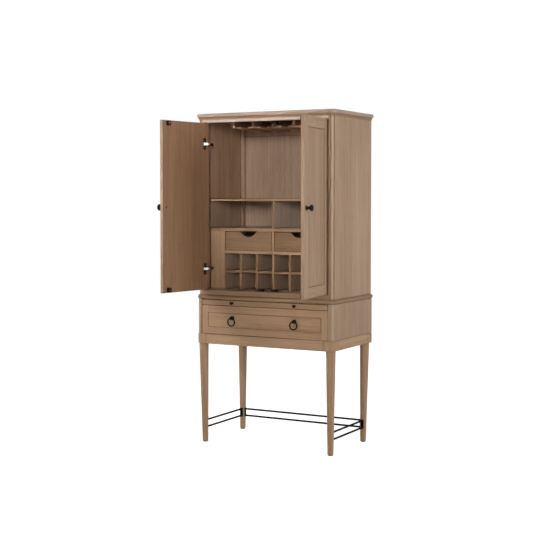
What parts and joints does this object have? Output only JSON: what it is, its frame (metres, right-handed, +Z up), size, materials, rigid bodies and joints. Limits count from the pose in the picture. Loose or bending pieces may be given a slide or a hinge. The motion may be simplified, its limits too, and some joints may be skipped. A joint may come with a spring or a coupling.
{
  "type": "bar armoire",
  "caption": "Oak bar armoire on a tall leg stand: hinged doors over stemware rack, shelves, inner drawers and wine lattice, with a serving tray and a main drawer below.",
  "frame": {"origin": "on the floor, under the centre of the crown board's footprint", "axes": "+Z up, +X to the right as seen from the front, +Y to the back; the doors face -Y"},
  "size_m": [1.0302, 0.9424, 2.032],
  "materials": {
    "oak": "wire-brushed, matt",
    "oak_inside": "matt",
    "black_metal": "satin",
    "nickel": "bright nickel",
    "black_plastic": "matt"
  },
  "bodies": {
    "cabinet": {"legs": "oak", "apron_rails": "oak", "lower_posts": "oak", "lower_sides": "oak", "waist_board": "oak", "front_posts": "oak", "rear_posts": "oak", "upper_sides": "oak", "bottom_rail": "oak", "frieze_rail": "oak", "crown_board": "oak", "cove_moulding": "oak", "lower_back": "oak_inside", "lower_bottom": "oak_inside", "tray_deck": "oak_inside", "drawer_guides": "oak_inside", "upper_floor": "oak_inside", "upper_ceiling": "oak_inside", "upper_back": "oak_inside", "stemware_rails": "oak_inside", "shelf": "oak_inside", "niche_divider": "oak_inside", "module_top": "oak_inside", "fillers": "oak_inside", "module_sides": "oak_inside", "drawer_shelf": "oak_inside", "drawer_divider": "oak_inside", "wine_shelf": "oak_inside", "wine_dividers": "oak_inside", "catch_packers": "oak_inside", "stretcher_rods": "black_metal", "stretcher_plates": "black_metal", "hinge_arms": "nickel", "foot_glides": "black_plastic", "door_catches": "black_plastic"},
    "left_door": {"left_door_stiles": "oak", "left_door_rails": "oak", "left_door_panel": "oak", "left_door_knob": "black_metal", "left_door_hinges": "nickel", "left_door_strikes": "black_plastic"},
    "right_door": {"right_door_stiles": "oak", "right_door_rails": "oak", "right_door_panel": "oak", "right_door_knob": "black_metal", "right_door_hinges": "nickel", "right_door_strikes": "black_plastic"},
    "tray": {"tray_board": "oak_inside", "tray_front": "oak", "tray_knobs": "black_metal"},
    "main_drawer": {"drawer_front_frame": "oak", "drawer_front_panel": "oak", "drawer_box": "oak_inside", "pull_bosses": "black_metal"},
    "left_ring": {"left_pull_ring": "black_metal"},
    "right_ring": {"right_pull_ring": "black_metal"},
    "left_inner_drawer": {"left_inner_drawer_front": "oak_inside", "left_inner_drawer_box": "oak_inside"},
    "right_inner_drawer": {"right_inner_drawer_front": "oak_inside", "right_inner_drawer_box": "oak_inside"}
  },
  "joints": [
    {"name": "left_door_hinge", "type": "hinge", "parent": "cabinet", "child": "left_door", "pos_m": [-0.411, -0.257, 0], "axis": [0, 0, -1], "range_deg": [-98, 12]},
    {"name": "right_door_hinge", "type": "hinge", "parent": "cabinet", "child": "right_door", "pos_m": [0.411, -0.257, 0], "axis": [0, 0, 1], "range_deg": [-98, 12]},
    {"name": "left_inner_drawer_slide", "type": "slide", "parent": "cabinet", "child": "left_inner_drawer", "axis": [0, -1, 0], "range_m": [0, 0.28]},
    {"name": "right_inner_drawer_slide", "type": "slide", "parent": "cabinet", "child": "right_inner_drawer", "axis": [0, -1, 0], "range_m": [0, 0.28]},
    {"name": "tray_slide", "type": "slide", "parent": "cabinet", "child": "tray", "axis": [0, -1, 0], "range_m": [0, 0.3]},
    {"name": "main_drawer_slide", "type": "slide", "parent": "cabinet", "child": "main_drawer", "axis": [0, -1, 0], "range_m": [0, 0.35]},
    {"name": "left_ring_swing", "type": "hinge", "parent": "main_drawer", "child": "left_ring", "pos_m": [-0.213, -0.289, 0.784], "axis": [-1, 0, 0], "range_deg": [-12, 90]},
    {"name": "right_ring_swing", "type": "hinge", "parent": "main_drawer", "child": "right_ring", "pos_m": [0.213, -0.289, 0.784], "axis": [-1, 0, 0], "range_deg": [-12, 90]}
  ]
}
